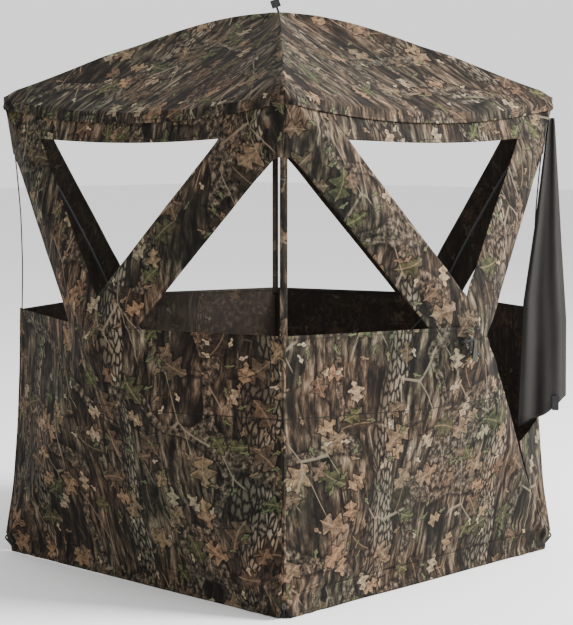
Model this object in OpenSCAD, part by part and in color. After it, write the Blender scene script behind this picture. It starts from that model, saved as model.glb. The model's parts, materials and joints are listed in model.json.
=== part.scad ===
// Pop up ground blind: a four-sided hub blind with five pop-out faces.
// The origin is on the ground at the middle of the floor, +Z up, and the front wall faces -Y.
// Each wall has a hub, four poles that pivot in it, and fabric panels that hinge on the
// wall's edges. Pushing the hub through the plane of the wall folds that wall inwards.

/* [Overall] */
// Width of each wall, measured between the corner lines
side = 1470; // [1300:10:1600]
// Height of the eave line, where the roof meets the walls
eave_z = 1740; // [1650:10:1800]
// Height of the wall hubs
hub_z = 887; // [860:1:910]
// Height of the point that the lower wall poles aim at
foot_z = 30; // [26:1:34]
// How far the middle of a wall hub stands out from the plane of its corners
wall_pop = 200; // [180:1:220]
// How far the middle of the roof hub stands above the eave line
roof_pop = 300; // [280:1:320]

/* [Fabric] */
// Thickness of the fabric with its coating
cloth_t = 2; // [1.5:0.5:3]
// Distance from a pole's centre line to the inner face of the fabric over it
cloth_off = 9; // [8:1:12]
// Height of the window sill
sill_z = 937; // [930:1:945]
// Height of the cloth left in place below the open door
door_foot_z = 455; // [430:5:460]
// Height of the skirt that stands on the ground
skirt_h = 80; // [60:5:80]
// How far the corner edges are drawn in, along X and along Y
corner_inset = 45; // [35:1:50]
// Depth of the band between the eave line and the upper windows
band_h = 165; // [140:5:180]
// Half the width of the fabric over an upper wall pole, measured level
strip_half = 132; // [110:1:135]
// Width of the corner straps and their webbing
strap_w = 25; // [20:1:30]

/* [Poles] */
// Diameter of the fibreglass poles
pole_d = 9.5; // [8:0.5:10]
// Diameter of the metal end that pivots in a hub
ferrule_d = 12; // [11:0.5:12]
// Length of that metal end past its pin
ferrule_l = 50; // [40:5:60]
// Diameter of the moulded tip at a pole's outer end
tip_d = 13; // [11:0.5:14]
// Distance from a wall pole's tip to the point of its corner
wall_tip_gap = 60; // [55:1:70]
// Distance from a roof pole's tip to the point of its corner
roof_tip_gap = 78; // [70:1:90]
// How far a wall pole is bent inwards at its middle by the tension of the cloth
wall_bow = 33; // [20:1:36]
// How far a roof pole is bent upwards at its middle
roof_bow = 24; // [15:1:28]

/* [Hubs] */
// Diameter of a hub
hub_d = 92; // [84:1:100]
// Thickness of a hub
hub_t = 22; // [18:1:26]
// Distance of each pin from the middle of the hub
pin_r = 30; // [28:1:32]
// Diameter of a pin
pin_d = 5; // [4:0.5:6]
// Length of a pin
pin_l = 27; // [24:1:30]
// Radial clearance of a pin in its bores
pin_play = 0.05; // [0.02:0.01:0.1]
// Width of the slot that a pole's end swings in
slot_w = 13; // [12.8:0.1:14]

/* [Corners] */
// Diameter of the moulded cap in each top corner
cap_d = 28; // [26:1:36]
// Diameter of the foot in each bottom corner
foot_d = 34; // [30:1:38]
// Height of a foot
foot_h = 18; // [16:1:22]
// How far the middle of a foot stands in from the corner, along X and along Y
foot_in = 26; // [24:1:28]
// Diameter of the eyelet in a stake tab
eyelet_d = 12; // [8:1:14]
// Thickness of a stake tab
tab_t = 3; // [2:0.5:4]

/* [Hidden] */
node = "all";
$fn = 48;
eps = 1;
half = side / 2;

WALLS = ["front", "right", "back", "left"];
CORNERS = ["front_right", "back_right", "back_left", "front_left"];
POLES = ["upper_right", "upper_left", "lower_left", "lower_right"];
// The wall whose right side opens as a door
DOOR_WALL = 1;

// Where the four poles of a wall end, from the middle of its hub: [x, y] in the wall
POLE_ENDS = [
    [half, eave_z - hub_z], [-half, eave_z - hub_z],
    [-half, foot_z - hub_z], [half, foot_z - hub_z]
];
roof_end = [half, half];

// Lean of each panel from the plane that its hub crosses
lower_lean = atan(wall_pop / (hub_z - foot_z));
upper_lean = atan(wall_pop / (eave_z - hub_z));
roof_lean = atan(roof_pop / half);

// Lengths of the panels from their hinge line to the hub
lower_len = norm([hub_z - foot_z, wall_pop]);
upper_len = norm([eave_z - hub_z, wall_pop]);
roof_len = norm([half, roof_pop]);

// Half width of a panel that narrows evenly from its hinge line to the hub, at a distance q
function narrowing(q, length) = half * (1 - q / length);

// A side panel runs straight from the drawn-in corner edge to the hub
side_turn = atan((wall_pop + cloth_off + corner_inset) / (half - corner_inset));

NODES = concat(
    ["roof_hub", "roof_hub_pins", "roof_pull_tab"],
    [for (c = CORNERS) str("roof_pole_", c)],
    [for (w = WALLS) str("roof_panel_", w)],
    [for (w = WALLS) str("wall_hub_", w)],
    [for (w = WALLS) str("wall_hub_pins_", w)],
    [for (w = WALLS, p = POLES) str("wall_pole_", w, "_", p)],
    [for (w = WALLS) str("lower_panel_", w)],
    [for (w = WALLS) str("upper_panel_", w)],
    [for (w = WALLS, s = ["_left", "_right"]) str("side_panel_", w, s)],
    ["door_flap", "door_toggle", "hub_pull_tab", "ground_skirt", "corner_seams",
     "corner_straps", "top_corner_caps", "corner_feet", "stake_tabs"]
);

function shown(name) = node == "all" || node == name;

// Turns a piece of the front wall into the same piece of wall k
module on_wall(k) rotate([0, 0, 90 * k]) children();

// A hub's own frame: x and y in the face of the hub, z outwards
module at_wall_hub(k)
    on_wall(k) translate([0, -half - wall_pop, hub_z]) rotate([90, 0, 0]) children();
module at_roof_hub()
    translate([0, 0, eave_z + roof_pop]) children();

// Disc with a slot and a pair of pin bores for each pole, and a grip boss on its inner face
module hub(ends) {
    boss_d = 30;
    boss_h = 12;
    slot_l = hub_d / 2;
    slot_start = pin_r - slot_w;
    difference() {
        union() {
            cylinder(d = hub_d, h = hub_t, center = true);
            translate([0, 0, -hub_t / 2 - boss_h]) cylinder(d = boss_d, h = boss_h + eps);
        }
        for (end = ends) rotate([0, 0, atan2(end[1], end[0])]) {
            translate([slot_start, -slot_w / 2, -hub_t / 2 - boss_h - eps])
                cube([slot_l, slot_w, hub_t + boss_h + 2 * eps]);
            translate([pin_r, 0, 0]) rotate([90, 0, 0])
                cylinder(d = pin_d + 2 * pin_play, h = pin_l + 2 * eps, center = true);
        }
    }
}

module pins(ends)
    for (end = ends) rotate([0, 0, atan2(end[1], end[0])])
        translate([pin_r, 0, 0]) rotate([90, 0, 0])
            cylinder(d = pin_d, h = pin_l, center = true);

// Pole from its pin in a hub to an end that lies drop below the face of the hub.
// It is bent in an arc: inwards by bow at its middle, or outwards if bow is negative.
module pole(end, drop, tip_gap, bow) {
    reach = norm(end) - pin_r;
    chord = norm([reach, drop]) - tip_gap;
    heel = 9;
    sag = abs(bow);
    bend_r = chord * chord / (8 * sag) + sag / 2;
    half_turn = asin(chord / 2 / bend_r);
    color("dimgray") rotate([0, 0, atan2(end[1], end[0])]) translate([pin_r, 0, 0])
        rotate([0, atan(drop / reach), 0]) mirror([0, 0, bow < 0 ? 1 : 0])
            difference() {
                union() {
                    rotate([0, 90 + half_turn, 0]) translate([0, 0, -heel])
                        cylinder(d = ferrule_d, h = ferrule_l + heel);
                    translate([chord / 2, 0, bend_r * cos(half_turn)]) rotate([90, 0, 0])
                        rotate([0, 0, -90 - half_turn])
                            rotate_extrude(angle = 2 * half_turn, $fn = 720)
                                translate([bend_r, 0]) circle(d = pole_d, $fn = 48);
                    translate([chord, 0, 0]) sphere(d = tip_d);
                }
                rotate([90, 0, 0])
                    cylinder(d = pin_d + 2 * pin_play, h = ferrule_d + 2 * eps, center = true);
            }
}

module roof_hub() color("black") at_roof_hub()
    hub([for (k = [0 : 3]) [roof_end[0] * cos(90 * k) - roof_end[1] * sin(90 * k),
                            roof_end[0] * sin(90 * k) + roof_end[1] * cos(90 * k)]]);
module roof_hub_pins() color("silver") at_roof_hub()
    for (k = [0 : 3]) rotate([0, 0, 90 * k]) pins([roof_end]);
module roof_pole(k) at_roof_hub()
    rotate([0, 0, 90 * k - 90]) pole(roof_end, roof_pop, roof_tip_gap, -roof_bow);

module wall_hub(k) color("black") at_wall_hub(k) hub(POLE_ENDS);
module wall_hub_pins(k) color("silver") at_wall_hub(k) pins(POLE_ENDS);
module wall_pole(k, p) at_wall_hub(k) pole(POLE_ENDS[p], wall_pop, wall_tip_gap, wall_bow);

// Webbing loop with a stiff tab, leaning beside the middle of the roof hub
module roof_pull_tab() {
    tab_w = 34;
    tab_h = 30;
    tab_lean = 20;
    stem_w = 8;
    stem_h = 22;
    // The tab is sewn to the cloth that covers the hub
    top = eave_z + roof_pop + hub_t / 2 + 5;
    color("black") translate([0, 0, top]) rotate([0, 0, 45]) rotate([0, -tab_lean, 0]) {
        translate([-stem_w / 2, -cloth_t / 2, 0]) cube([stem_w, cloth_t, stem_h + eps]);
        translate([-tab_w / 2, -cloth_t / 2, stem_h]) cube([tab_w, cloth_t, tab_h]);
    }
}

// Roof panel from the eave line up to the roof hub, cut short of the ridges
module roof_panel(k) {
    q_low = 25;
    q_high = 675;
    edge_gap = 14;
    ridge_gap = 62;
    function half_w(q) = narrowing(q, roof_len) - edge_gap - ridge_gap * q / roof_len;
    color("tan") on_wall(k) translate([0, -half, eave_z]) rotate([roof_lean, 0, 0])
        translate([0, 0, cloth_off]) linear_extrude(cloth_t)
            polygon([[-half_w(q_low), q_low], [half_w(q_low), q_low],
                     [half_w(q_high), q_high], [-half_w(q_high), q_high]]);
}

// Lower panel from the skirt up to the wall hub, between the two lower poles
module lower_panel(k) {
    q_low = 64;
    q_high = 775;
    edge_gap = 6;
    pole_gap = 26;
    function half_w(q) = narrowing(q, lower_len) - edge_gap - pole_gap * q / lower_len;
    color("olivedrab") on_wall(k) translate([0, -half, foot_z])
        rotate([90 + lower_lean, 0, 0]) translate([0, 0, cloth_off]) linear_extrude(cloth_t)
            polygon([[-half_w(q_low), q_low], [half_w(q_low), q_low],
                     [half_w(q_high), q_high], [-half_w(q_high), q_high]]);
}

// Upper panel over the two upper poles, with the band under the eave and a window between
module upper_panel(k) {
    edge_x = half - 80;
    q_low = 35;
    q_high = 778;
    q_band = band_h / cos(upper_lean);
    q_edge = upper_len * (1 - (edge_x - strip_half) / half);
    q_point = upper_len * (1 - strip_half / half);
    window_half = narrowing(q_band, upper_len) - strip_half;
    foot_half = narrowing(q_high, upper_len) + strip_half;
    color("darkolivegreen") on_wall(k) translate([0, -half, eave_z])
        rotate([90 - upper_lean, 0, 0]) translate([0, 0, cloth_off]) linear_extrude(cloth_t)
            difference() {
                polygon([[-edge_x, -q_low], [edge_x, -q_low], [edge_x, -q_edge],
                         [foot_half, -q_high], [-foot_half, -q_high], [-edge_x, -q_edge]]);
                polygon([[-window_half, -q_band], [window_half, -q_band], [0, -q_point]]);
            }
}

// Side panel between a corner edge and a lower pole, from x_inner to its outer side and up
// to top_z; s is 1 for the right
module side_panel(k, s, x_inner = 110, top_z = sill_z) {
    x_outer = half - 135;
    edge_gap = 10;
    pole_gap = 42;
    // Height of the panel's lower edge, which keeps clear of the pole beside it
    function low_z(x) = foot_z + edge_gap
        + (hub_z - foot_z + pole_gap) * (1 - x / half);
    function along(x) = (half - corner_inset - x) / cos(side_turn);
    color("olive") on_wall(k) mirror([1 - s, 0, 0])
        translate([half - corner_inset, corner_inset - half, 0])
            rotate([0, 0, 180 + side_turn]) rotate([90, 0, 0])
                translate([0, 0, -cloth_t]) linear_extrude(cloth_t)
                    polygon([[along(x_outer), low_z(x_outer)], [along(x_inner), low_z(x_inner)],
                             [along(x_inner), top_z], [along(x_outer), top_z]]);
}

// Unzipped side of the door wall, hanging from its top corner; x runs out of the corner
module door_flap() {
    flap_t = 26;
    flap_front = 52;
    color("saddlebrown") rotate([0, 0, 45]) rotate([90, 0, 0])
        translate([0, 0, flap_front - flap_t]) linear_extrude(flap_t)
            polygon([[1019, 1660], [1042, 1660], [1075, 1190], [1100, 900], [1104, 600],
                     [1010, 515], [915, 465], [933, 960], [975, 1270]]);
}

module door_toggle() {
    strap_front = 55.5;
    color("black") rotate([0, 0, 45]) rotate([90, 0, 0])
        translate([1046, 548, strap_front - cloth_t]) cube([strap_w, 55, cloth_t]);
}

// Webbing tab on the middle of the door wall's hub
module hub_pull_tab() {
    neck_w = 12;
    tab_w = 27;
    tab_l = 62;
    neck_l = 14;
    neck_top = 1.5;
    color("darkslategray") at_wall_hub(DOOR_WALL) translate([0, 0, hub_t / 2 + 2])
        linear_extrude(cloth_t + 1) {
            translate([-neck_w / 2, -neck_l - eps]) square([neck_w, neck_l + neck_top + eps]);
            hull() {
                translate([0, -neck_l]) square([neck_w, eps], center = true);
                translate([0, tab_w / 2 - tab_l - neck_l]) circle(d = tab_w);
            }
        }
}

// Hem of the four walls, standing on the ground between the feet
module ground_skirt() {
    end_gap = 60;
    color("darkolivegreen") for (k = [0 : 3]) on_wall(k)
        translate([end_gap - half, -half - cloth_t / 2, 0])
            cube([side - 2 * end_gap, cloth_t, skirt_h]);
}

// Doubled fabric along each corner edge below the sill, folded round the edge
module corner_seams() {
    flap_w = 14;
    seam_z = skirt_h + 10;
    color("darkolivegreen") for (k = [0 : 3]) on_wall(k)
        translate([half - corner_inset, corner_inset - half, seam_z]) {
            if (k != DOOR_WALL) rotate([0, 0, side_turn]) translate([-flap_w, 0, 0])
                cube([flap_w, cloth_t, sill_z - seam_z]);
            rotate([0, 0, 90 - side_turn]) cube([flap_w, cloth_t, sill_z - seam_z]);
        }
}

// Webbing along each corner edge, from the sill up to the top corner
module corner_straps() {
    top_gap = 61;
    rise = eave_z - top_gap - sill_z;
    spread = 30;
    lean = atan(spread * sqrt(2) / rise);
    color("darkolivegreen") for (k = [0 : 3]) on_wall(k)
        translate([half - corner_inset, corner_inset - half, sill_z]) rotate([0, 0, -45])
            rotate([0, lean, 0]) translate([0, -strap_w / 2, 1])
                cube([cloth_t, strap_w, rise]);
}

// Each cap sits just inside the point where two walls and two roof panels meet
module top_corner_caps() {
    in_gap = 12;
    down_gap = 18;
    color("black") for (k = [0 : 3]) on_wall(k)
        translate([half - in_gap, in_gap - half, eave_z - down_gap]) sphere(d = cap_d);
}

module corner_feet() {
    rim = 4;
    color("black") for (k = [0 : 3]) on_wall(k) translate([half - foot_in, foot_in - half, 0]) {
        cylinder(d = foot_d, h = foot_h - rim);
        translate([0, 0, foot_h - rim]) cylinder(d1 = foot_d, d2 = foot_d - 2 * rim, h = rim);
    }
}

// Webbing tab from each foot up to an eyelet for a ground stake, upright in the corner
module stake_tabs() {
    eye_x = 8;
    eye_z = 50;
    start = foot_d / 2 - foot_in * sqrt(2) + eps;
    color("black") for (k = [0 : 3]) on_wall(k)
        translate([half, -half, 0]) rotate([0, 0, -45]) translate([0, tab_t / 2, 0])
            rotate([90, 0, 0]) linear_extrude(tab_t) difference() {
                hull() {
                    translate([start, 3]) square([4, foot_h - 6]);
                    translate([eye_x, eye_z]) circle(d = 2 * eyelet_d);
                }
                translate([eye_x, eye_z]) circle(d = eyelet_d);
            }
}

if (shown("roof_hub")) roof_hub();
if (shown("roof_hub_pins")) roof_hub_pins();
if (shown("roof_pull_tab")) roof_pull_tab();
for (k = [0 : 3]) if (shown(str("roof_pole_", CORNERS[k]))) roof_pole(k);
for (k = [0 : 3]) if (shown(str("roof_panel_", WALLS[k]))) roof_panel(k);
for (k = [0 : 3]) if (shown(str("wall_hub_", WALLS[k]))) wall_hub(k);
for (k = [0 : 3]) if (shown(str("wall_hub_pins_", WALLS[k]))) wall_hub_pins(k);
for (k = [0 : 3], p = [0 : 3])
    if (shown(str("wall_pole_", WALLS[k], "_", POLES[p]))) wall_pole(k, p);
for (k = [0 : 3]) if (shown(str("lower_panel_", WALLS[k]))) lower_panel(k);
for (k = [0 : 3]) if (shown(str("upper_panel_", WALLS[k]))) upper_panel(k);
for (k = [0 : 3]) if (shown(str("side_panel_", WALLS[k], "_left"))) side_panel(k, 0);
for (k = [0 : 3]) if (shown(str("side_panel_", WALLS[k], "_right"))) {
    if (k == DOOR_WALL) side_panel(k, 1, 410, door_foot_z);
    else side_panel(k, 1);
}
if (shown("door_flap")) door_flap();
if (shown("door_toggle")) door_toggle();
if (shown("hub_pull_tab")) hub_pull_tab();
if (shown("ground_skirt")) ground_skirt();
if (shown("corner_seams")) corner_seams();
if (shown("corner_straps")) corner_straps();
if (shown("top_corner_caps")) top_corner_caps();
if (shown("corner_feet")) corner_feet();
if (shown("stake_tabs")) stake_tabs();
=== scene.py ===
"""Pop up ground blind: cloth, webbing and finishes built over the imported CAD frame. Metres, +Z up."""
import json
import math

import bpy
import numpy as np
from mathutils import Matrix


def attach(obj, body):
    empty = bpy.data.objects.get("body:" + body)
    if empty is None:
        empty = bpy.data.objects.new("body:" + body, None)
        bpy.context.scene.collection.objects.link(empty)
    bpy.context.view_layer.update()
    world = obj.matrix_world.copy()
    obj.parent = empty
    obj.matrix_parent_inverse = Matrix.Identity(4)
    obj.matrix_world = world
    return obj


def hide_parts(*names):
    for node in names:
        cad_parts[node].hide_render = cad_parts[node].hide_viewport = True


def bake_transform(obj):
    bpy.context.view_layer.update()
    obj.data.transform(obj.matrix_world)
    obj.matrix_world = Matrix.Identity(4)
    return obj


# ---------------------------------------------------------------- camera
camera = bpy.data.objects.new("camera", bpy.data.cameras.new("camera"))
bpy.context.collection.objects.link(camera)
bpy.context.scene.camera = camera
camera.data.sensor_width = 36
camera.data.lens = 105.44
camera.data.clip_end = 100
camera.location = (4.857, -5.012, 1.596)
camera.rotation_euler = (math.radians(90 - 5.524), 0, math.radians(45 - 1.1375))

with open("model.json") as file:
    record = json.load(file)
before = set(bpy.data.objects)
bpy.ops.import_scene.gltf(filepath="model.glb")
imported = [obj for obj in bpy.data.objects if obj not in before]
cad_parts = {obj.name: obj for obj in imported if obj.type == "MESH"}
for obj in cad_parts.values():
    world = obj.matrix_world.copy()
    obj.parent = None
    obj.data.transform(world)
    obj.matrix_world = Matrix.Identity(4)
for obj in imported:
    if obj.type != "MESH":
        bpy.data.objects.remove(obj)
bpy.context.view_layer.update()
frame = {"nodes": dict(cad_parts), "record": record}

# ---------------------------------------------------------------- sizes
HALF = 0.735          # half the width between the corner lines
EAVE = 1.740          # height of the eave corners
EAVE_MIDDLE = 1.680   # height of the eave in the middle of a wall
HUB_Z = 0.887         # height of the wall hubs
FOOT_Z = 0.030        # height the lower poles aim at
POP = 0.212           # how far the cloth over a wall hub stands out
HUB_FLAT_R = 0.047    # radius of the flat cloth over a hub
SILL = 0.937          # height of the window sill
DOOR_SILL = 0.46      # height of the cloth left in place below the door
SKIRT = 0.080         # height of the hem that stands on the ground
STRIP = 0.132         # half the width of the cloth over an upper pole
SEAM_Z = 0.66         # height of the seam across each wall
THICK = 0.0012        # thickness of the cloth
CAP_IN, CAP_DOWN, CAP_CLEAR = 0.012, 0.018, 0.0165    # moulded caps in the top corners
FOOT_IN, FOOT_TOP, FOOT_CLEAR = 0.026, 0.030, 0.0190  # moulded feet in the bottom corners
WALLS = ("front", "right", "back", "left")
DOOR_WALL = 1         # the right wall has the door, on its right
S2 = math.sqrt(0.5)


def smooth(a, b, x):
    t = np.clip((x - a) / (b - a), 0, 1)
    return t * t * (3 - 2 * t)


def softmax(a, b, k):
    h = np.clip(0.5 + 0.5 * (a - b) / k, 0, 1)
    return b + (a - b) * h + k * h * (1 - h)


def inset(z):
    """How far a corner edge is drawn in, along X and along Y, at height z."""
    zs = (0, .107, .25, .49, .72, .94, 1.1, 1.3, 1.5, 1.65, 1.74)
    ins = (-.017, -.005, .012, .026, .034, .037, .040, .037, .026, .010, 0)
    return sum(np.interp(z + dz, zs, ins) for dz in (-.04, -.02, 0, .02, .04)) / 5


def edge_x(z):
    return HALF - inset(z)


def hub_share(z):
    """1 at the height of the hub, falling to 0 at the foot and at the eave."""
    return np.clip(np.where(z < HUB_Z, (z - FOOT_Z) / (HUB_Z - FOOT_Z), (EAVE - z) / (EAVE - HUB_Z)), 0, 1)


def pole_x(z):
    return np.minimum(HALF * (1 - hub_share(z)), edge_x(z) - 0.002)


def wrinkles(x, z, k):
    """Small folds that run out from the hub, the feet and the ends of the sill."""
    out = 0.0016 * np.sin(9 * x + 2.1 * k + 3 * z) * np.sin(7.3 * z + 1.7 * k)
    for cx, cz, amp, count, reach in ((0, HUB_Z, .0042, 13, .30), (HALF, 0.06, .0045, 26, .34),
                                      (-HALF, 0.06, .0045, 26, .34), (HALF, SILL, .0030, 21, .22),
                                      (-HALF, SILL, .0030, 21, .22), (HALF, 1.72, .0035, 24, .28),
                                      (-HALF, 1.72, .0035, 24, .28)):
        r = np.hypot(x - cx, z - cz)
        turn = np.arctan2(z - cz, x - cx)
        wave = np.sin(count * turn + 1.3 * k + 2.2 * np.sin(3 * turn + k))
        out = out + amp * wave * np.exp(-r / reach) * smooth(0.05, 0.16, r)
    hem = np.exp(-((z - 0.085) / 0.035) ** 2) * 0.0035 * np.sin(31 * x + 4 * np.sin(6 * x + k) + k)
    return (out + hem) * smooth(0, 0.05, edge_x(z) - np.abs(x))


def depth(x, z, k):
    """How far the cloth of wall k stands out of the plane through its corners."""
    share = hub_share(z)
    px, ex = pole_x(z), edge_x(z)
    ax = np.abs(x)
    t = np.clip((ax - px) / (ex - px), 0, 1)
    flat = POP * share * (1 - t) - inset(z) * t
    # the crease over a pole is slightly rounded
    flat = flat - 0.004 * np.exp(-((ax - px) / 0.012) ** 2) * smooth(0.1, 0.3, 1 - t) * (share < 0.97)
    r = np.hypot(x, z - HUB_Z)
    over_hub = POP + 0.0015 - 1.1 * np.maximum(0, r - HUB_FLAT_R)
    flare = 0.007 * smooth(0.06, 0, z)
    # pockets over the rounded ends of the poles
    pocket = 0.017 * smooth(0.16, 0.10, z) * smooth(0.025, 0.06, z)
    pocket = pocket + 0.016 * smooth(1.58, 1.66, z) * smooth(1.73, 1.705, z)
    pocket = pocket * np.exp(-((ax - px) / 0.020) ** 2) * smooth(0, 0.02, ex - ax)
    return softmax(flat, over_hub, 0.006) + wrinkles(x, z, k) + flare + pocket


def turned(points, k):
    p = np.array(points, float)
    for _ in range(k % 4):
        p[..., 0], p[..., 1] = -p[..., 1].copy(), p[..., 0].copy()
    return p


CAPS = np.array([turned((HALF - CAP_IN, CAP_IN - HALF, EAVE - CAP_DOWN), k) for k in range(4)])
FEET = np.array([turned((HALF - FOOT_IN, FOOT_IN - HALF, 0), k) for k in range(4)])


def clear_fittings(p):
    """Moves cloth out of the moulded caps and feet that it is stretched over."""
    p = p.copy()
    for c in CAPS:
        v = p - c
        r = np.linalg.norm(v, axis=-1, keepdims=True)
        p = np.where(r < CAP_CLEAR, c + v / np.maximum(r, 1e-6) * CAP_CLEAR, p)
    for c in FEET:
        v = (p - c) * (1, 1, 0)
        r = np.linalg.norm(v, axis=-1, keepdims=True)
        low = (p[..., 2:3] < FOOT_TOP) & (r < FOOT_CLEAR)
        beside = c * (1, 1, 0) + v / np.maximum(r, 1e-6) * FOOT_CLEAR + p * (0, 0, 1)
        p = np.where(low, beside, p)
    return p


def on_wall(x, z, k, lift=0.0):
    p = np.stack([x, -HALF - depth(x, z, k) - lift, z], -1)
    return clear_fittings(turned(p, k))


# ---------------------------------------------------------------- materials
class Graph:
    """A few helpers that keep node trees short."""

    def __init__(self, name):
        self.material = bpy.data.materials.new(name)
        self.material.use_nodes = True
        self.tree = self.material.node_tree
        self.tree.nodes.clear()

    def put(self, socket, value):
        if isinstance(value, bpy.types.NodeSocket):
            self.tree.links.new(value, socket)
        else:
            socket.default_value = value

    def node(self, kind, sets=None, **inputs):
        n = self.tree.nodes.new("ShaderNode" + kind)
        for key, value in (sets or {}).items():
            setattr(n, key, value)
        for key, value in inputs.items():
            self.put(n.inputs[key.replace("_", " ")], value)
        return n

    def math(self, op, a, b=0.0, c=0.0, clamp=False):
        n = self.node("Math", {"operation": op, "use_clamp": clamp})
        for socket, value in zip(n.inputs, (a, b, c)):
            self.put(socket, value)
        return n.outputs[0]

    def vec(self, x, y, z=0.0):
        return self.node("CombineXYZ", X=x, Y=y, Z=z).outputs[0]

    def scaled(self, u, v, per_u, per_v, w=0.0):
        return self.vec(self.math("MULTIPLY", u, per_u), self.math("MULTIPLY", v, per_v), w)

    def grey(self, value):
        return self.node("CombineColor", Red=value, Green=value, Blue=value).outputs[0]

    def noise(self, vector, detail=4.0, rough=0.55):
        return self.node("TexNoise", {"noise_dimensions": "3D"}, Vector=vector, Scale=1.0, Detail=detail,
                         Roughness=rough).outputs[0]

    def band(self, value, low, high):
        """0 below low, 1 above high."""
        n = self.node("MapRange", {"interpolation_type": "SMOOTHSTEP"}, Value=value)
        n.inputs["From Min"].default_value = low
        n.inputs["From Max"].default_value = high
        return n.outputs[0]

    def ramp(self, value, stops, how="LINEAR"):
        n = self.node("ValToRGB", Fac=value)
        n.color_ramp.interpolation = how
        while len(n.color_ramp.elements) < len(stops):
            n.color_ramp.elements.new(0.5)
        for element, (place, colour) in zip(n.color_ramp.elements, stops):
            element.position = place
            element.color = (*colour, 1)
        return n.outputs[0]

    def mix(self, share, a, b, how="MIX"):
        n = self.node("Mix", {"data_type": "RGBA", "blend_type": how})
        self.put(n.inputs[0], share)
        for i, v in ((6, a), (7, b)):
            self.put(n.inputs[i], v if isinstance(v, bpy.types.NodeSocket) else (*v, 1))
        return n.outputs[2]

    def finish(self, colour, rough, height=None, bump=0.001, metal=0.0, specular=0.3):
        b = self.node("BsdfPrincipled", Metallic=metal)
        plain = not isinstance(colour, bpy.types.NodeSocket)
        self.put(b.inputs["Base Color"], (*colour, 1) if plain else colour)
        self.put(b.inputs["Roughness"], rough)
        self.put(b.inputs["Specular IOR Level"], specular)
        if height is not None:
            bump_node = self.node("Bump", Strength=1.0, Distance=bump, Height=height)
            self.tree.links.new(bump_node.outputs[0], b.inputs["Normal"])
        out = self.node("OutputMaterial")
        self.tree.links.new(b.outputs[0], out.inputs["Surface"])
        return self.material


def uv_parts(g):
    uv = g.node("UVMap", {"uv_map": "cloth"}).outputs[0]
    s = g.node("SeparateXYZ", Vector=uv)
    return s.outputs[0], s.outputs[1]


FULL_TURN = 6.283
SHADOW = (.004, .003, .003)
LARGE_LEAVES = ((0.0, (.052, .038, .025)), (0.30, (.085, .064, .041)), (0.52, (.040, .042, .022)),
                (0.72, (.096, .069, .041)), (0.86, (.026, .020, .014)))
MIDDLE_LEAVES = ((0.0, (.110, .078, .045)), (0.25, (.124, .106, .076)), (0.50, (.045, .050, .024)),
                 (0.72, (.064, .046, .030)))
SMALL_LEAVES = ((0.0, (.052, .064, .034)), (0.40, (.080, .060, .038)), (0.80, (.150, .132, .100)))


def leaves(g, u, v, base, per_metre, shift, keep, slim, lobes, tones):
    """One layer of printed leaves: each cell of a Voronoi pattern holds a leaf turned its own way."""
    pu = g.math("MULTIPLY_ADD", u, per_metre, shift)
    pv = g.math("MULTIPLY_ADD", v, per_metre, shift * 1.7)
    cells = g.node("TexVoronoi", {"voronoi_dimensions": "2D"}, Vector=g.vec(pu, pv), Scale=1.0,
                   Randomness=0.8)
    at = g.node("SeparateXYZ", Vector=cells.outputs["Position"])
    x = g.math("SUBTRACT", pu, at.outputs[0])
    y = g.math("SUBTRACT", pv, at.outputs[1])
    own = g.node("SeparateColor", Color=cells.outputs["Color"])
    turn = g.math("MULTIPLY", own.outputs[0], FULL_TURN)
    c = g.math("COSINE", turn)
    s = g.math("SINE", turn)
    lx = g.math("ADD", g.math("MULTIPLY", x, c), g.math("MULTIPLY", y, s))
    ly = g.math("SUBTRACT", g.math("MULTIPLY", y, c), g.math("MULTIPLY", x, s))
    ly = g.math("ABSOLUTE", g.math("ADD", ly, g.math("MULTIPLY", g.math("MULTIPLY", lx, lx), 0.35)))
    along = g.math("MULTIPLY_ADD", lx, 1.15, 0.5, clamp=True)
    body = g.math("SINE", g.math("MULTIPLY", along, 3.1416))
    lobe_wave = g.math("SINE", g.math("MULTIPLY", along, FULL_TURN * lobes))
    notch = g.math("MULTIPLY_ADD", lobe_wave, 0.34, 0.72)
    half_w = g.math("MULTIPLY", g.math("MULTIPLY", body, notch), slim)
    within = g.math("SUBTRACT", half_w, ly)
    kept = g.math("LESS_THAN", own.outputs[2], keep)
    vein = g.band(ly, 0.006, 0.028)
    rib_phase = g.math("ADD", g.math("MULTIPLY", along, 48.0), g.math("MULTIPLY", ly, -60.0))
    grain = g.noise(g.scaled(pu, pv, 7, 7), 3, 0.6)
    shade = g.math("MULTIPLY_ADD", g.band(grain, 0.3, 0.7), 0.75, 0.5)
    shade = g.math("MULTIPLY", shade, g.math("MULTIPLY_ADD", g.math("SINE", rib_phase), 0.09, 1.0))
    leaf = g.mix(1.0, g.ramp(own.outputs[1], tones, "CONSTANT"), g.grey(shade), "MULTIPLY")
    leaf = g.mix(g.math("MULTIPLY_ADD", vein, -0.35, 0.35), leaf, (0.15, 0.12, 0.075))
    # a soft shadow under each leaf lifts it off the bark
    shadow = g.math("MULTIPLY", g.band(within, -0.09, 0.0), kept)
    under = g.mix(g.math("MULTIPLY", shadow, 0.65), base, SHADOW)
    return g.mix(g.math("MULTIPLY", g.band(within, 0.0, 0.03), kept), under, leaf)


def bark_layer(g, u, v, bark):
    """Streaks of bark, darker in patches."""
    colour = g.ramp(bark, ((0.34, (.004, .0035, .003)), (0.44, (.014, .011, .008)),
                           (0.51, (.040, .032, .023)), (0.58, (.078, .064, .047)),
                           (0.68, (.150, .128, .100))))
    zone = g.noise(g.scaled(u, v, 7.0, 3.4, 9.0), 4, 0.6)
    return g.mix(g.math("MULTIPLY", g.band(zone, 0.47, 0.60), 0.72), colour, (.007, .006, .005))


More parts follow.
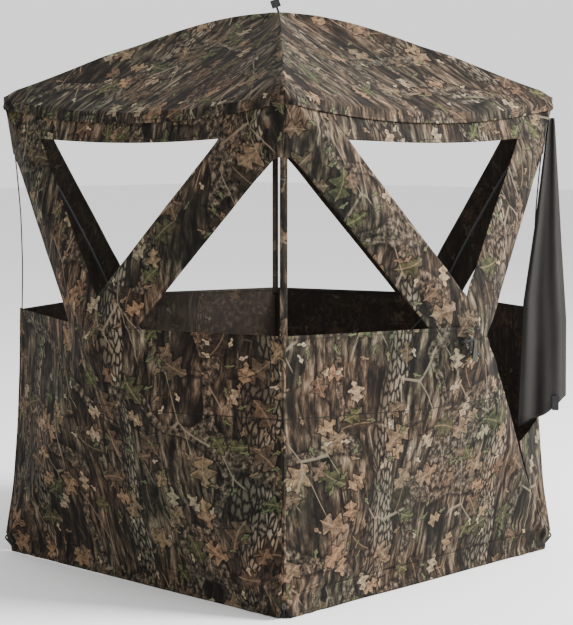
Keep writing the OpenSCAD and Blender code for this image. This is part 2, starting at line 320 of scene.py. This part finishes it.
def trunk_layer(g, u, v, bent_u, wander, bark, base):
    """Trunks: upright stripes of cracked, paler bark with a dark side."""
    stripes = g.math("ADD", g.math("MULTIPLY", u, 1.85), g.math("MULTIPLY", wander, 0.75))
    place = g.math("FRACT", stripes)
    off = g.math("MULTIPLY_ADD", bark, 0.10, g.math("ABSOLUTE", g.math("SUBTRACT", place, 0.5)))
    across = g.math("MULTIPLY", bent_u, 70)
    upwards = g.math("MULTIPLY_ADD", v, 24, g.math("MULTIPLY", bark, 3.0))
    cracks = g.node("TexVoronoi", {"voronoi_dimensions": "2D", "feature": "DISTANCE_TO_EDGE"},
                    Vector=g.vec(across, upwards), Scale=1.0, Randomness=1.0).outputs[0]
    plates = g.ramp(g.math("MULTIPLY", cracks, g.math("MULTIPLY_ADD", bark, 2.0, 0.5)),
                    ((0.04, (.004, .0035, .003)), (0.16, (.036, .030, .023)), (0.42, (.125, .110, .090))))
    lit = g.band(place, 0.40, 0.60)
    trunk = g.mix(g.math("MULTIPLY_ADD", lit, -0.7, 0.7), plates, (.010, .008, .006))
    base = g.mix(g.math("MULTIPLY", g.band(off, 0.19, 0.13), 0.6), base, SHADOW)
    return g.mix(g.band(off, 0.135, 0.120), base, trunk)


def bough_layer(g, u, v, bark, base):
    """Boughs: the level lines of a slow noise."""
    slow = g.noise(g.vec(g.math("MULTIPLY_ADD", v, 1.3, g.math("MULTIPLY", u, 2.0)),
                         g.math("MULTIPLY_ADD", u, -0.9, g.math("MULTIPLY", v, 1.6)), 21.0), 1.5, 0.4)
    off = g.math("MULTIPLY_ADD", bark, 0.020, g.math("ABSOLUTE", g.math("SUBTRACT", slow, 0.5)))
    fine = g.noise(g.scaled(u, v, 60, 44, 5.0), 5, 0.7)
    bough = g.ramp(fine, ((0.38, (.006, .005, .004)), (0.50, (.034, .028, .021)),
                          (0.64, (.105, .090, .072))))
    base = g.mix(g.math("MULTIPLY", g.band(off, 0.055, 0.034), 0.65), base, SHADOW)
    return g.mix(g.band(off, 0.036, 0.029), base, bough)


def twig_layer(g, u, v, bent_u, base):
    """Thin broken twigs along the edges of large cells."""
    leaning = g.math("MULTIPLY", g.math("ADD", bent_u, g.math("MULTIPLY", v, 0.35)), 7.5)
    cells = g.node("TexVoronoi", {"voronoi_dimensions": "2D", "feature": "DISTANCE_TO_EDGE"},
                   Vector=g.vec(leaning, g.math("MULTIPLY", v, 3.1)), Scale=1.0, Randomness=1.0)
    broken = g.band(g.noise(g.scaled(u, v, 4.1, 4.7, 2.0), 2, 0.5), 0.50, 0.56)
    twig = g.math("MULTIPLY", g.band(cells.outputs[0], 0.020, 0.010), broken)
    return g.mix(g.math("MULTIPLY", twig, 0.75), base, (.115, .100, .078))


def graded(g, u, v, colour):
    """Specks, a slow drift between warm brown and grey green, then more contrast and less colour."""
    speck = g.noise(g.scaled(u, v, 420, 300), 2, 0.7)
    colour = g.mix(1.0, colour, g.grey(g.math("MULTIPLY_ADD", speck, 0.9, 0.56)), "MULTIPLY")
    drift = g.noise(g.scaled(u, v, 3.1, 3.7, 14.0), 2, 0.5)
    tint = g.ramp(drift, ((0.38, (1.0, .82, .66)), (0.52, (.93, .87, .76)), (0.64, (.79, .82, .72))))
    colour = g.mix(1.0, colour, tint, "MULTIPLY")
    colour = g.node("Gamma", Color=colour, Gamma=1.35).outputs[0]
    colour = g.node("HueSaturation", Color=colour, Saturation=0.82).outputs[0]
    return g.node("VectorMath", {"operation": "SCALE"}, Vector=colour, Scale=3.0).outputs[0]


def camo_colour(g, u, v):
    """A generic woodland print: upright bark, dark trunks and boughs, oak-like leaves and thin twigs."""
    wander = g.noise(g.scaled(u, v, 2.3, 1.1, 3.0), 2, 0.5)
    bent_u = g.math("ADD", u, g.math("MULTIPLY", wander, 0.16))
    bark = g.noise(g.scaled(bent_u, v, 42, 7.0), 7, 0.70)
    colour = bark_layer(g, u, v, bark)
    colour = trunk_layer(g, u, v, bent_u, wander, bark, colour)
    colour = bough_layer(g, u, v, bark, colour)
    colour = leaves(g, u, v, colour, 7.2, 3.1, 0.52, 0.36, 3, LARGE_LEAVES)
    colour = twig_layer(g, u, v, bent_u, colour)
    colour = leaves(g, u, v, colour, 10.5, 8.6, 0.30, 0.33, 3, MIDDLE_LEAVES)
    colour = leaves(g, u, v, colour, 21.0, 5.7, 0.26, 0.20, 2, SMALL_LEAVES)
    return graded(g, u, v, colour)


def weave(g, u, v):
    """Threads of the cloth, 150 to the metre."""
    return g.math("MULTIPLY", g.math("SINE", g.math("MULTIPLY", u, 150 * FULL_TURN)),
                  g.math("SINE", g.math("MULTIPLY", v, 150 * FULL_TURN)))


def hem_parts(g, v):
    """Darkness and height of the hems' stitches, from the distance to the cloth's edge, and of the seam."""
    near = g.node("Attribute", {"attribute_name": "edge"}).outputs["Fac"]
    stitch = g.math("MULTIPLY", g.band(near, 0.0095, 0.0105), g.band(near, 0.0135, 0.0125))
    lap = g.band(near, 0.0150, 0.0135)
    off = g.math("SUBTRACT", v, SEAM_Z)
    seam = g.band(g.math("ABSOLUTE", off), 0.0028, 0.0012)
    seam_lap = g.math("MULTIPLY", g.band(off, -0.014, -0.012), g.band(off, 0.001, 0.0))
    dark = g.math("MAXIMUM", g.math("MULTIPLY", stitch, 0.45), g.math("MULTIPLY", seam, 0.75))
    height = g.math("ADD", g.math("MULTIPLY", lap, 0.7), g.math("MULTIPLY", seam_lap, 0.7))
    return dark, g.math("SUBTRACT", height, g.math("MULTIPLY", dark, 0.5))


def crumple(g, u, v):
    return g.math("MULTIPLY", g.noise(g.scaled(u, v, 9, 7, 4.0), 3, 0.55), 4.2)


def camo_cloth():
    g = Graph("camo cloth")
    u, v = uv_parts(g)
    dark, relief = hem_parts(g, v)
    colour = g.mix(dark, camo_colour(g, u, v), (.008, .007, .006))
    height = g.math("ADD", relief, g.math("MULTIPLY_ADD", weave(g, u, v), 0.05, crumple(g, u, v)))
    return g.finish(colour, 0.88, height, 0.0011, specular=0.14)


def coated_cloth():
    g = Graph("coated inner side")
    u, v = uv_parts(g)
    dark, relief = hem_parts(g, v)
    colour = g.mix(0.28, (.0285, .0214, .0170), camo_colour(g, u, v))
    colour = g.mix(dark, colour, (.004, .004, .004))
    return g.finish(colour, 0.75, g.math("ADD", relief, crumple(g, u, v)), 0.0010, specular=0.12)


def flap_coating():
    g = Graph("door flap coating")
    u, v = uv_parts(g)
    tone = g.noise(g.scaled(u, v, 26, 4.0), 4, 0.6)
    colour = g.ramp(tone, ((0.3, (.0078, .0064, .0051)), (0.7, (.0136, .0112, .0088))))
    no_seam = g.math("ADD", v, 9.0)
    dark, relief = hem_parts(g, no_seam)
    height = g.math("ADD", relief, crumple(g, u, v))
    return g.finish(g.mix(dark, colour, (.008, .007, .006)), 0.58, height, 0.0010)


def printed_webbing():
    g = Graph("printed webbing")
    u, v = uv_parts(g)
    ribs = g.math("SINE", g.math("MULTIPLY", v, 2600.0))
    return g.finish(camo_colour(g, u, v), 0.8, ribs, 0.0004, specular=0.2)


def webbing(name, colour):
    g = Graph(name)
    at = g.node("SeparateXYZ", Vector=g.node("TexCoord").outputs["Object"])
    slant = g.math("ADD", at.outputs[0], g.math("ADD", at.outputs[1], at.outputs[2]))
    ribs = g.math("SINE", g.math("MULTIPLY", slant, 1900.0))
    base = g.mix(g.math("MULTIPLY_ADD", ribs, 0.15, 0.2), colour, tuple(2.2 * c for c in colour))
    return g.finish(base, 0.8, ribs, 0.0004, specular=0.2)


def grain_of(g, scale, detail=2.0):
    """Fine noise that is fixed to the piece."""
    at = g.node("TexCoord").outputs["Object"]
    return g.node("TexNoise", Vector=at, Scale=scale, Detail=detail).outputs[0]


def moulded(name, colour, rough, scale=260.0, bump=0.0002):
    g = Graph(name)
    grain = grain_of(g, scale, 3.0)
    rough_value = g.math("MULTIPLY_ADD", grain, 0.18, rough - 0.09)
    return g.finish(g.mix(grain, colour, tuple(1.7 * c for c in colour)), rough_value, grain, bump)


def rods():
    g = Graph("fibreglass rod")
    grain = grain_of(g, 420.0)
    return g.finish(g.mix(grain, (.010, .010, .011), (.028, .028, .030)), 0.36, grain, 0.00008, specular=0.5)


def steel():
    g = Graph("steel pin")
    grain = grain_of(g, 900.0)
    rough = g.math("MULTIPLY_ADD", grain, 0.15, 0.25)
    return g.finish(g.mix(grain, (.42, .42, .43), (.62, .62, .63)), rough, metal=1.0)


CAMO = camo_cloth()
COAT = coated_cloth()
FLAP = flap_coating()
CAMO_WEB = printed_webbing()
BLACK_WEB = webbing("black webbing", (.012, .012, .013))
GREEN_WEB = webbing("grey green webbing", (.026, .029, .021))
FINISH = {
    "camo_cloth": CAMO,
    "camo_webbing": CAMO_WEB,
    "coated_cloth": FLAP,
    "black_webbing": BLACK_WEB,
    "fibreglass": rods(),
    "hub_plastic": moulded("hub nylon", (.016, .016, .017), 0.45),
    "cap_plastic": moulded("cap nylon", (.014, .014, .015), 0.5),
    "foot_rubber": moulded("foot rubber", (.018, .018, .018), 0.75, 180.0, 0.0003),
    "steel_pin": steel(),
}
for part in frame["record"]["subparts"]:
    mesh = frame["nodes"][part["node"]].data
    mesh.materials.clear()
    mesh.materials.append(FINISH[part["material_slot"]])
tab_mesh = frame["nodes"]["hub_pull_tab"].data
tab_mesh.materials.clear()
tab_mesh.materials.append(GREEN_WEB)


# ---------------------------------------------------------------- cloth meshes
def shell(name, patches, materials=(CAMO, COAT), thick=THICK):
    """Closed two-layer cloth from patches of (points, uv, distance to edge), the outside first."""
    verts, faces, slots, uvs, edges = [], [], [], [], []
    for points, uv, near in patches:
        n, m = points.shape[:2]
        di = np.gradient(points, axis=0)
        dj = np.gradient(points, axis=1)
        normal = np.cross(dj, di)
        normal /= np.maximum(np.linalg.norm(normal, axis=-1, keepdims=True), 1e-9)
        base = len(verts)
        verts.extend(points.reshape(-1, 3))
        verts.extend((points - normal * thick).reshape(-1, 3))
        uvs.extend(list(uv.reshape(-1, 2)) * 2)
        edges.extend(list(np.broadcast_to(near, (n, m)).reshape(-1)) * 2)
        under = n * m

        def at(i, j, layer=0):
            return base + i * m + j + layer * under

        for i in range(n - 1):
            for j in range(m - 1):
                faces.append((at(i, j), at(i, j + 1), at(i + 1, j + 1), at(i + 1, j)))
                faces.append((at(i, j, 1), at(i + 1, j, 1), at(i + 1, j + 1, 1), at(i, j + 1, 1)))
                slots += [0, 1]
        rim = [(i, 0) for i in range(n)] + [(n - 1, j) for j in range(1, m)]
        rim += [(i, m - 1) for i in range(n - 2, -1, -1)] + [(0, j) for j in range(m - 2, 0, -1)]
        for (a, b), (c, d) in zip(rim, rim[1:] + rim[:1]):
            faces.append((at(a, b), at(c, d), at(c, d, 1), at(a, b, 1)))
            slots.append(0)
    mesh = bpy.data.meshes.new(name)
    mesh.from_pydata([tuple(map(float, p)) for p in verts], [], faces)
    for material in materials:
        mesh.materials.append(material)
    mesh.polygons.foreach_set("material_index", slots)
    mesh.polygons.foreach_set("use_smooth", [True] * len(faces))
    layer = mesh.uv_layers.new(name="cloth")
    flat = np.array(uvs, np.float32)[[v for f in faces for v in f]]
    layer.data.foreach_set("uv", flat.reshape(-1))
    attribute = mesh.attributes.new("edge", "FLOAT", "POINT")
    attribute.data.foreach_set("value", np.array(edges, np.float32))
    mesh.validate()
    mesh.update()
    obj = bpy.data.objects.new(name, mesh)
    bpy.context.collection.objects.link(obj)
    return obj


def wall_uv(x, z, k):
    return np.stack([x + 1.97 * k, z + 0 * x], -1)


def rows(low, high, left, right, count, columns):
    """Grid of x and z between two edges given as functions of height; x runs from left to right."""
    z = np.linspace(low, high, count)[:, None] + np.zeros((1, columns))
    t = np.linspace(0, 1, columns)[None, :]
    x = left(z) * (1 - t) + right(z) * t
    return x, z


def point(k, x, y, z):
    return tuple(float(c) for c in turned((x, y, z), k))


def cloth(nodes=()):
    if nodes:
        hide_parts(*nodes)


FAR = 0.5   # a distance to the edge that shows no hem


# ---------------------------------------------------------------- lower wall cloth
def door_side(z):
    """How far the cloth of the door wall reaches past the lower pole on the door's side."""
    return 0.006 + (STRIP - 0.006) * smooth(0.02, 1.0, (z - SKIRT) / (HUB_Z - SKIRT)) ** 0.8


def past_pole(z):
    return np.minimum(pole_x(z) + door_side(z), edge_x(z))


def lower_cloth(k, w):
    """Lower wall cloth, between the two lower poles."""
    right_edge = past_pole if k == DOOR_WALL else pole_x
    x, z = rows(SKIRT, HUB_Z - 0.001, lambda z: -pole_x(z), right_edge, 74, 90)
    near = np.full_like(x, FAR)
    if k == DOOR_WALL:
        near = np.minimum(near, (right_edge(z) - x) * 0.72)
    obj = shell("lower_cloth_" + w, [(on_wall(x, z, k), wall_uv(x, z, k), near)])
    cloth(nodes=["lower_panel_" + w])
    point(k, 0, -HALF, SKIRT)
    point(k, 0, -HALF, 0.20)
    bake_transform(obj)


def full_side():
    """Grid of the cloth from a lower pole to the corner edge, up to the sill."""
    def inner(z):
        return np.where(z < HUB_Z, pole_x(z), 0.0)

    x, z = rows(SKIRT, SILL, inner, edge_x, 78, 64)
    return x, z, SILL - z


def low_door_side():
    """Grid of the cloth left in place below the open door, up to a hem that rises to the corner."""
    def inner(z):
        return np.minimum(pole_x(z) + door_side(z) + 0.05 * (z - SKIRT), edge_x(z) - 0.004)

    columns = 34
    x, z = rows(SKIRT, DOOR_SILL, inner, edge_x, 40, columns)
    rise = 1 + 0.15 * np.linspace(0, 1, columns)[None, :] ** 1.5
    z = SKIRT + (z - SKIRT) * rise
    return x, z, (DOOR_SILL - SKIRT) * rise - (z - SKIRT)


def side_cloth(k, w, s, side):
    """Side wall cloth; s is -1 on the left and 1 on the right."""
    if k == DOOR_WALL and s == 1:
        x, z, near = low_door_side()
    else:
        x, z, near = full_side()
    if s < 0:
        x, z, near = -x[:, ::-1], z[:, ::-1], near[:, ::-1]
    obj = shell("side_cloth_%s_%s" % (w, side), [(on_wall(x, z, k), wall_uv(x, z, k), near)])
    cloth(nodes=["side_panel_%s_%s" % (w, side)])
    point(k, s * 0.69, -HALF, 0.5)
    point(k, s * 0.56, -HALF, 0.5)
    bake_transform(obj)


# ---------------------------------------------------------------- upper wall cloth
STRIP_TOP = 1.45      # above this height the strip's outer edge turns to meet the corner
ARCH_Z, ARCH_R = 1.480, 0.047
ARCH_LOW, ARCH_HIGH = 1.5107, 1.527


def strip_outer(z):
    """Outer edge of the cloth over an upper pole; a small arch joins it to the corner edge."""
    gap = 0.8617 * (1.552 - z)
    arch = np.sqrt(np.maximum(0, ARCH_R ** 2 - (z - ARCH_Z) ** 2))
    gap = np.where(z > ARCH_LOW, arch, gap)
    gap = np.where(z > ARCH_HIGH, 0.0, gap)
    joined = (edge_x(STRIP_TOP) - STRIP - pole_x(STRIP_TOP)) / 0.0879
    return edge_x(z) - np.clip(gap, 0, None) * joined


def strip_inner(z):
    return np.maximum(pole_x(z) - STRIP, 0.0)


def fold_z(x):
    """Height of the fold where the roof turns down over the wall."""
    return EAVE_MIDDLE + (EAVE - EAVE_MIDDLE) * (x / HALF) ** 2


def window_top(x):
    return 1.570 + 0.012 * (x / 0.42) ** 2


def upper_strip(k, w, s, side):
    """Cloth over an upper pole, one arm of a V from the hub to a top corner."""
    low = HUB_Z if (k == DOOR_WALL and s == 1) else SILL
    heights = [np.linspace(low, 1.50, 56), np.linspace(1.503, ARCH_HIGH, 8), np.linspace(1.54, 1.73, 16)]
    z = np.concatenate(heights)[:, None] + np.zeros((1, 26))
    t = np.linspace(0, 1, 26)[None, :]
    outer = np.minimum(np.where(z < STRIP_TOP, pole_x(z) + STRIP, strip_outer(z)), edge_x(z))
    x = strip_inner(z) * (1 - t) + outer * t
    inner_gap = np.where(pole_x(z) > STRIP, (x - strip_inner(z)) * 0.76, FAR)
    inner_gap = np.where(z > window_top(x), FAR, inner_gap)
    outer_gap = np.where(z < 1.50, (outer - x) * 0.76, FAR)
    near = np.minimum(inner_gap, outer_gap)
    z = np.minimum(z, fold_z(x) - 0.004)   # the strip ends just under the roof's fold
    if s < 0:
        x, z, near = -x[:, ::-1], z[:, ::-1], near[:, ::-1]
    part = shell("upper_strip_%s_%s" % (w, side), [(on_wall(x, z, k), wall_uv(x, z, k), near)])
    cloth(nodes=["upper_panel_" + w])
    point(k, s * 0.70, -HALF, 1.5)
    point(k, s * 0.44, -HALF, 1.5)
    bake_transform(part)


def eave_band(k, w):
    """Band between the eave and the upper window."""
    t = np.linspace(0, 1, 14)[:, None]
    u = np.linspace(-1, 1, 84)[None, :]
    low_x, top_x = strip_inner(np.array((1.585, 1.66)))
    about_x = u * (low_x + (top_x - low_x) * t)
    z = window_top(about_x) + (fold_z(about_x) - 0.004 - window_top(about_x)) * t
    x = u * strip_inner(z)
    band = shell("eave_band_" + w, [(on_wall(x, z, k), wall_uv(x, z, k), z - window_top(x))])
    cloth()
    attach(band, "upper_panel_" + w)


# ---------------------------------------------------------------- roof cloth
FLANGE = 0.042        # how far the roof's edge hangs down over the walls
CROWN = 2.0555        # height of the flat cloth over the roof hub


def roof_point(s, m, k):
    """s runs from -1 to 1 between the ridges, and m from 0 at the hub to 1 at the fold over the eave."""
    ridge = EAVE + 0.317 * (1 - m) + 0.31 * m * (1 - m) ** 2
    ridge = ridge + 0.0115 * smooth(0.48, 0.66, m) * smooth(1.0, 0.95, m)   # clears the bent poles
    middle = EAVE_MIDDLE + 0.377 * (1 - m) + 0.08 * m * (1 - m) ** 2
    x = s * HALF * m
    z = middle + (ridge - middle) * np.abs(s) ** 2.0
    out = POP * hub_share(fold_z(s * HALF)) * m ** 4
    y = -HALF * m - out
    z = softmax(z, CROWN - 1.1 * np.maximum(0, np.hypot(x, y) - HUB_FLAT_R), 0.004)
    turn = np.arctan2(x, -y + 0.02)
    ripple = np.sin(23 * turn + 2 * k) * 0.0022 * np.exp(-m / 0.3) * smooth(0.06, 0.2, m)
    pull = np.sin(17 * s + 5 * m + k) * 0.0028 * smooth(0.5, 0.95, m) * smooth(1.0, 0.85, np.abs(s))
    return x, y, z + ripple + pull


def roof_uv(x, v, k):
    return np.stack([x + 7.3 + 2.1 * k, 5.0 + v + 0 * x], -1)


def roof_cloth(k, w):
    """A quarter of the roof, which turns over the eave and hangs down as a short flange."""
    m = np.concatenate([np.linspace(0.008, 0.12, 12), np.linspace(0.133, 1.0, 64)])[:, None]
    s = np.linspace(-1, 1, 104)[None, :]
    x, y, z = roof_point(s + 0 * m, m + 0 * s, k)
    top = clear_fittings(turned(np.stack([x, y, z], -1), k))
    down = np.array([0.003, 0.008, 0.014, 0.020, 0.026, 0.032, 0.038, FLANGE])[:, None]
    fx = s * edge_x(np.array(EAVE)) + 0 * down
    fz = fold_z(fx) - down
    lift = 0.0045 * smooth(0, 0.006, down) * smooth(1.02, 0.97, np.abs(s)) + 0.002
    flange = np.stack([fx, -HALF - depth(fx, fz, k) - lift, fz], -1)
    flange = clear_fittings(turned(flange, k))
    points = np.concatenate([top, flange])[::-1]
    uv = np.concatenate([roof_uv(x, 0.79 * (1 - m), k), roof_uv(fx, -down, k)])[::-1]
    near = np.concatenate([np.full(x.shape, FAR), FLANGE - down + 0 * fx])[::-1]
    obj = shell("roof_cloth_" + w, [(points, uv, near)])
    cloth(nodes=["roof_panel_" + w])
    point(k, 0, -HALF, EAVE)
    point(k, 0, -0.60, EAVE)
    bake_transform(obj)


# ---------------------------------------------------------------- hem and corner edges
def skirt_cloth():
    """The hem on the ground, notched at each corner."""
    patches = []
    for k in range(4):
        z = np.linspace(0, SKIRT, 12)[:, None] + np.zeros((1, 150))
        t = np.linspace(-1, 1, 150)[None, :]
        notch = 0.034 * np.clip(1 - z / 0.066, 0, 1)
        x = t * (edge_x(z) - notch)
        patches.append((on_wall(x, z + 0.001, k), wall_uv(x, z, k), np.minimum(z, FAR)))
    skirt = shell("skirt_cloth", patches)
    cloth(nodes=["ground_skirt"])
    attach(skirt, "base")


def along_corner(name, low, high, half_w, bulge, lift, materials, count):
    """A narrow strip that follows each of the four corner edges, facing outwards."""
    patches = []
    for k in range(4):
        z = np.linspace(low, high, count)[:, None] + np.zeros((1, 7))
        t = np.linspace(-1, 1, 7)[None, :]
        r = edge_x(z)
        across = half_w * t * S2
        push = (lift - bulge * np.abs(t)) * S2
        p = np.stack([r + across + push, -r + across - push, z], -1)
        patches.append((turned(p, k), wall_uv(half_w * t + 0.9 + 0 * z, z, k), np.full(z.shape, FAR)))
    return shell(name, patches, materials)


def corner_binding():
    binding = along_corner("corner_binding", SKIRT - 0.012, SILL + 0.004, 0.0075, 0.0062, 0.0026,
                           (CAMO, COAT), 70)
    cloth(nodes=["corner_seams"])
    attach(binding, "base")


def corner_webbing():
    straps = along_corner("corner_webbing", SILL - 0.03, 1.70, 0.0125, 0.002, -0.004, (CAMO_WEB, COAT), 60)
    cloth(nodes=["corner_straps"])
    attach(straps, "base")


# ---------------------------------------------------------------- door flap
def door_flap_cloth():
    """The unzipped side of the door wall, hanging in soft folds from its top corner.

    It hangs in an upright plane along the diagonal: u runs outwards, and the folds stand out of the plane.
    """
    t = np.linspace(0, 1, 90)[:, None]
    s = np.linspace(0, 1, 34)[None, :]
    left_u = np.interp(t, (0, .33, .60, 1), (1.018, .974, .932, .914))
    left_z = np.interp(t, (0, .33, .60, 1), (1.662, 1.27, .96, .468))
    right_u = np.interp(t, (0, .45, .72, 1), (1.043, 1.076, 1.099, 1.103))
    right_z = np.interp(t, (0, .45, .72, 1), (1.662, 1.19, .90, .602))
    sag = 0.035 * np.sin(np.pi * s) ** 2 * t ** 3
    u = left_u * (1 - s) + right_u * s
    z = left_z * (1 - s) + right_z * s - sag * (s - 0.2)
    fold = np.sin(2 * np.pi * (1.35 * s + 0.12) + 1.1 * t) * 0.0085 * (0.35 + 0.65 * t)
    fold = fold + 0.0030 * np.sin(2 * np.pi * (3.1 * s - 0.4 * t)) * t - 0.006 * smooth(0.12, 0.0, s)
    v = 0.0390 + fold
    points = np.stack([(u + v) * S2, (u - v) * S2, z], -1)
    near = np.minimum(np.minimum(s, 1 - s) * (right_u - left_u), (1 - t) * 1.1)
    uv = np.stack([u + 20.0, z], -1)
    flap = shell("door_flap_cloth", [(points[::-1], uv[::-1], near[::-1])], (FLAP, CAMO))
    cloth(nodes=["door_flap"])
    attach(flap, "door_flap")


# ---------------------------------------------------------------- small webbing and patches
def ribbon(name, path, across, half_w, material, thick):
    """Webbing along a path of points; across is the direction of its width."""
    path = np.array(path, float)
    across = np.array(across, float)
    t = np.linspace(-1, 1, 5)[None, :, None]
    p = path[:, None, :] + across[None, None, :] * t * half_w
    uv = np.zeros(p.shape[:2] + (2,))
    uv[..., 1] = np.linspace(0, 0.1, len(path))[:, None]
    return shell(name, [(p, uv, np.full(p.shape[:2], FAR))], (material, material), thick)


def wall_point(k, x, z, lift):
    return turned((x, -HALF - float(depth(np.array(x), np.array(z), k)) - lift, z), k)


def roof_crown_patch():
    """A round patch of cloth sewn over the middle of the roof."""
    outer_r = 0.041
    turn = np.linspace(0, 2 * np.pi, 49)[None, :]
    r = np.linspace(outer_r, 0.001, 8)[:, None]
    p = np.stack([r * np.cos(turn), r * np.sin(turn), CROWN + 0.0017 - 0.04 * r + 0 * turn], -1)
    uv = np.stack([p[..., 0] + 3.3, p[..., 1] + 4.4], -1)
    crown = shell("roof_crown_patch", [(p, uv, outer_r - r + 0 * turn)])
    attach(crown, "roof_hub")


def buttonhole(k, w, n, x):
    """A slit beside a wall hub, for a pull cord, drawn as a strip of black webbing over uncut cloth: its
    black is partly the stitching round the slit and partly painted shade for the dark opening.
    """
    top = wall_point(k, x, HUB_Z + 0.009, 0.0016)
    low = wall_point(k, x, HUB_Z - 0.009, 0.0016)
    hole = ribbon("buttonhole_%s_%d" % (w, n), [low, (low + top) / 2, top], turned((1, 0, 0), k), 0.0028,
                  BLACK_WEB, 0.0014)
    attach(hole, "wall_hub_" + w)


def hub_tab_strap():
    """The strap that holds the tab of the door wall's hub."""
    xs = np.linspace(-0.062, 0.004, 9)
    path = [wall_point(DOOR_WALL, x, HUB_Z + 0.004 * math.cos(38 * x), 0.003) for x in xs]
    strap = ribbon("hub_tab_strap", path[::-1], (0, 0, 1), 0.0045, BLACK_WEB, 0.0022)
    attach(strap, "wall_hub_right")


# ---------------------------------------------------------------- the whole blind
SIDES = ((-1, "left"), (1, "right"))
for wall, word in enumerate(WALLS):
    lower_cloth(wall, word)
for wall, word in enumerate(WALLS):
    for sign, side_word in SIDES:
        side_cloth(wall, word, sign, side_word)
for wall, word in enumerate(WALLS):
    for sign, side_word in SIDES:
        upper_strip(wall, word, sign, side_word)
    eave_band(wall, word)
for wall, word in enumerate(WALLS):
    roof_cloth(wall, word)
skirt_cloth()
corner_binding()
corner_webbing()
door_flap_cloth()
roof_crown_patch()
for wall, word in enumerate(WALLS):
    if wall != DOOR_WALL:
        buttonhole(wall, word, 1, -0.020)
        buttonhole(wall, word, 2, 0.020)
hub_tab_strap()


# ---------------------------------------------------------------- stage
FAR_OUT = 40
floor_mesh = bpy.data.meshes.new("floor")
floor_corners = [(x * FAR_OUT, y * FAR_OUT, -.001) for x, y in ((-1, -1), (1, -1), (1, 1), (-1, 1))]
floor_mesh.from_pydata(floor_corners, [], [(0, 1, 2, 3)])
floor_mesh.materials.append(Graph("studio floor").finish((.82, .82, .82), 0.9, specular=0.1))
floor = bpy.data.objects.new("floor", floor_mesh)
bpy.context.collection.objects.link(floor)

world = bpy.data.worlds.new("studio")
bpy.context.scene.world = world
world.use_nodes = True
world.node_tree.nodes["Background"].inputs[0].default_value = (1, 1, 1, 1)
world.node_tree.nodes["Background"].inputs[1].default_value = 1.35


def area_light(name, place, aim, size, power):
    lamp = bpy.data.lights.new(name, "AREA")
    lamp.size, lamp.energy = size, power
    obj = bpy.data.objects.new(name, lamp)
    bpy.context.collection.objects.link(obj)
    obj.location = place
    d = np.array(aim, float) - np.array(place, float)
    obj.rotation_euler = (math.atan2(math.hypot(d[0], d[1]), -d[2]), 0, math.atan2(-d[0], d[1]))


area_light("key", (6.4, 4.0, 6.0), (0.4, 0, 1.0), 3.0, 2700)
area_light("fill", (0.5, -7.0, 3.0), (0, -0.4, 1.0), 4.0, 20)
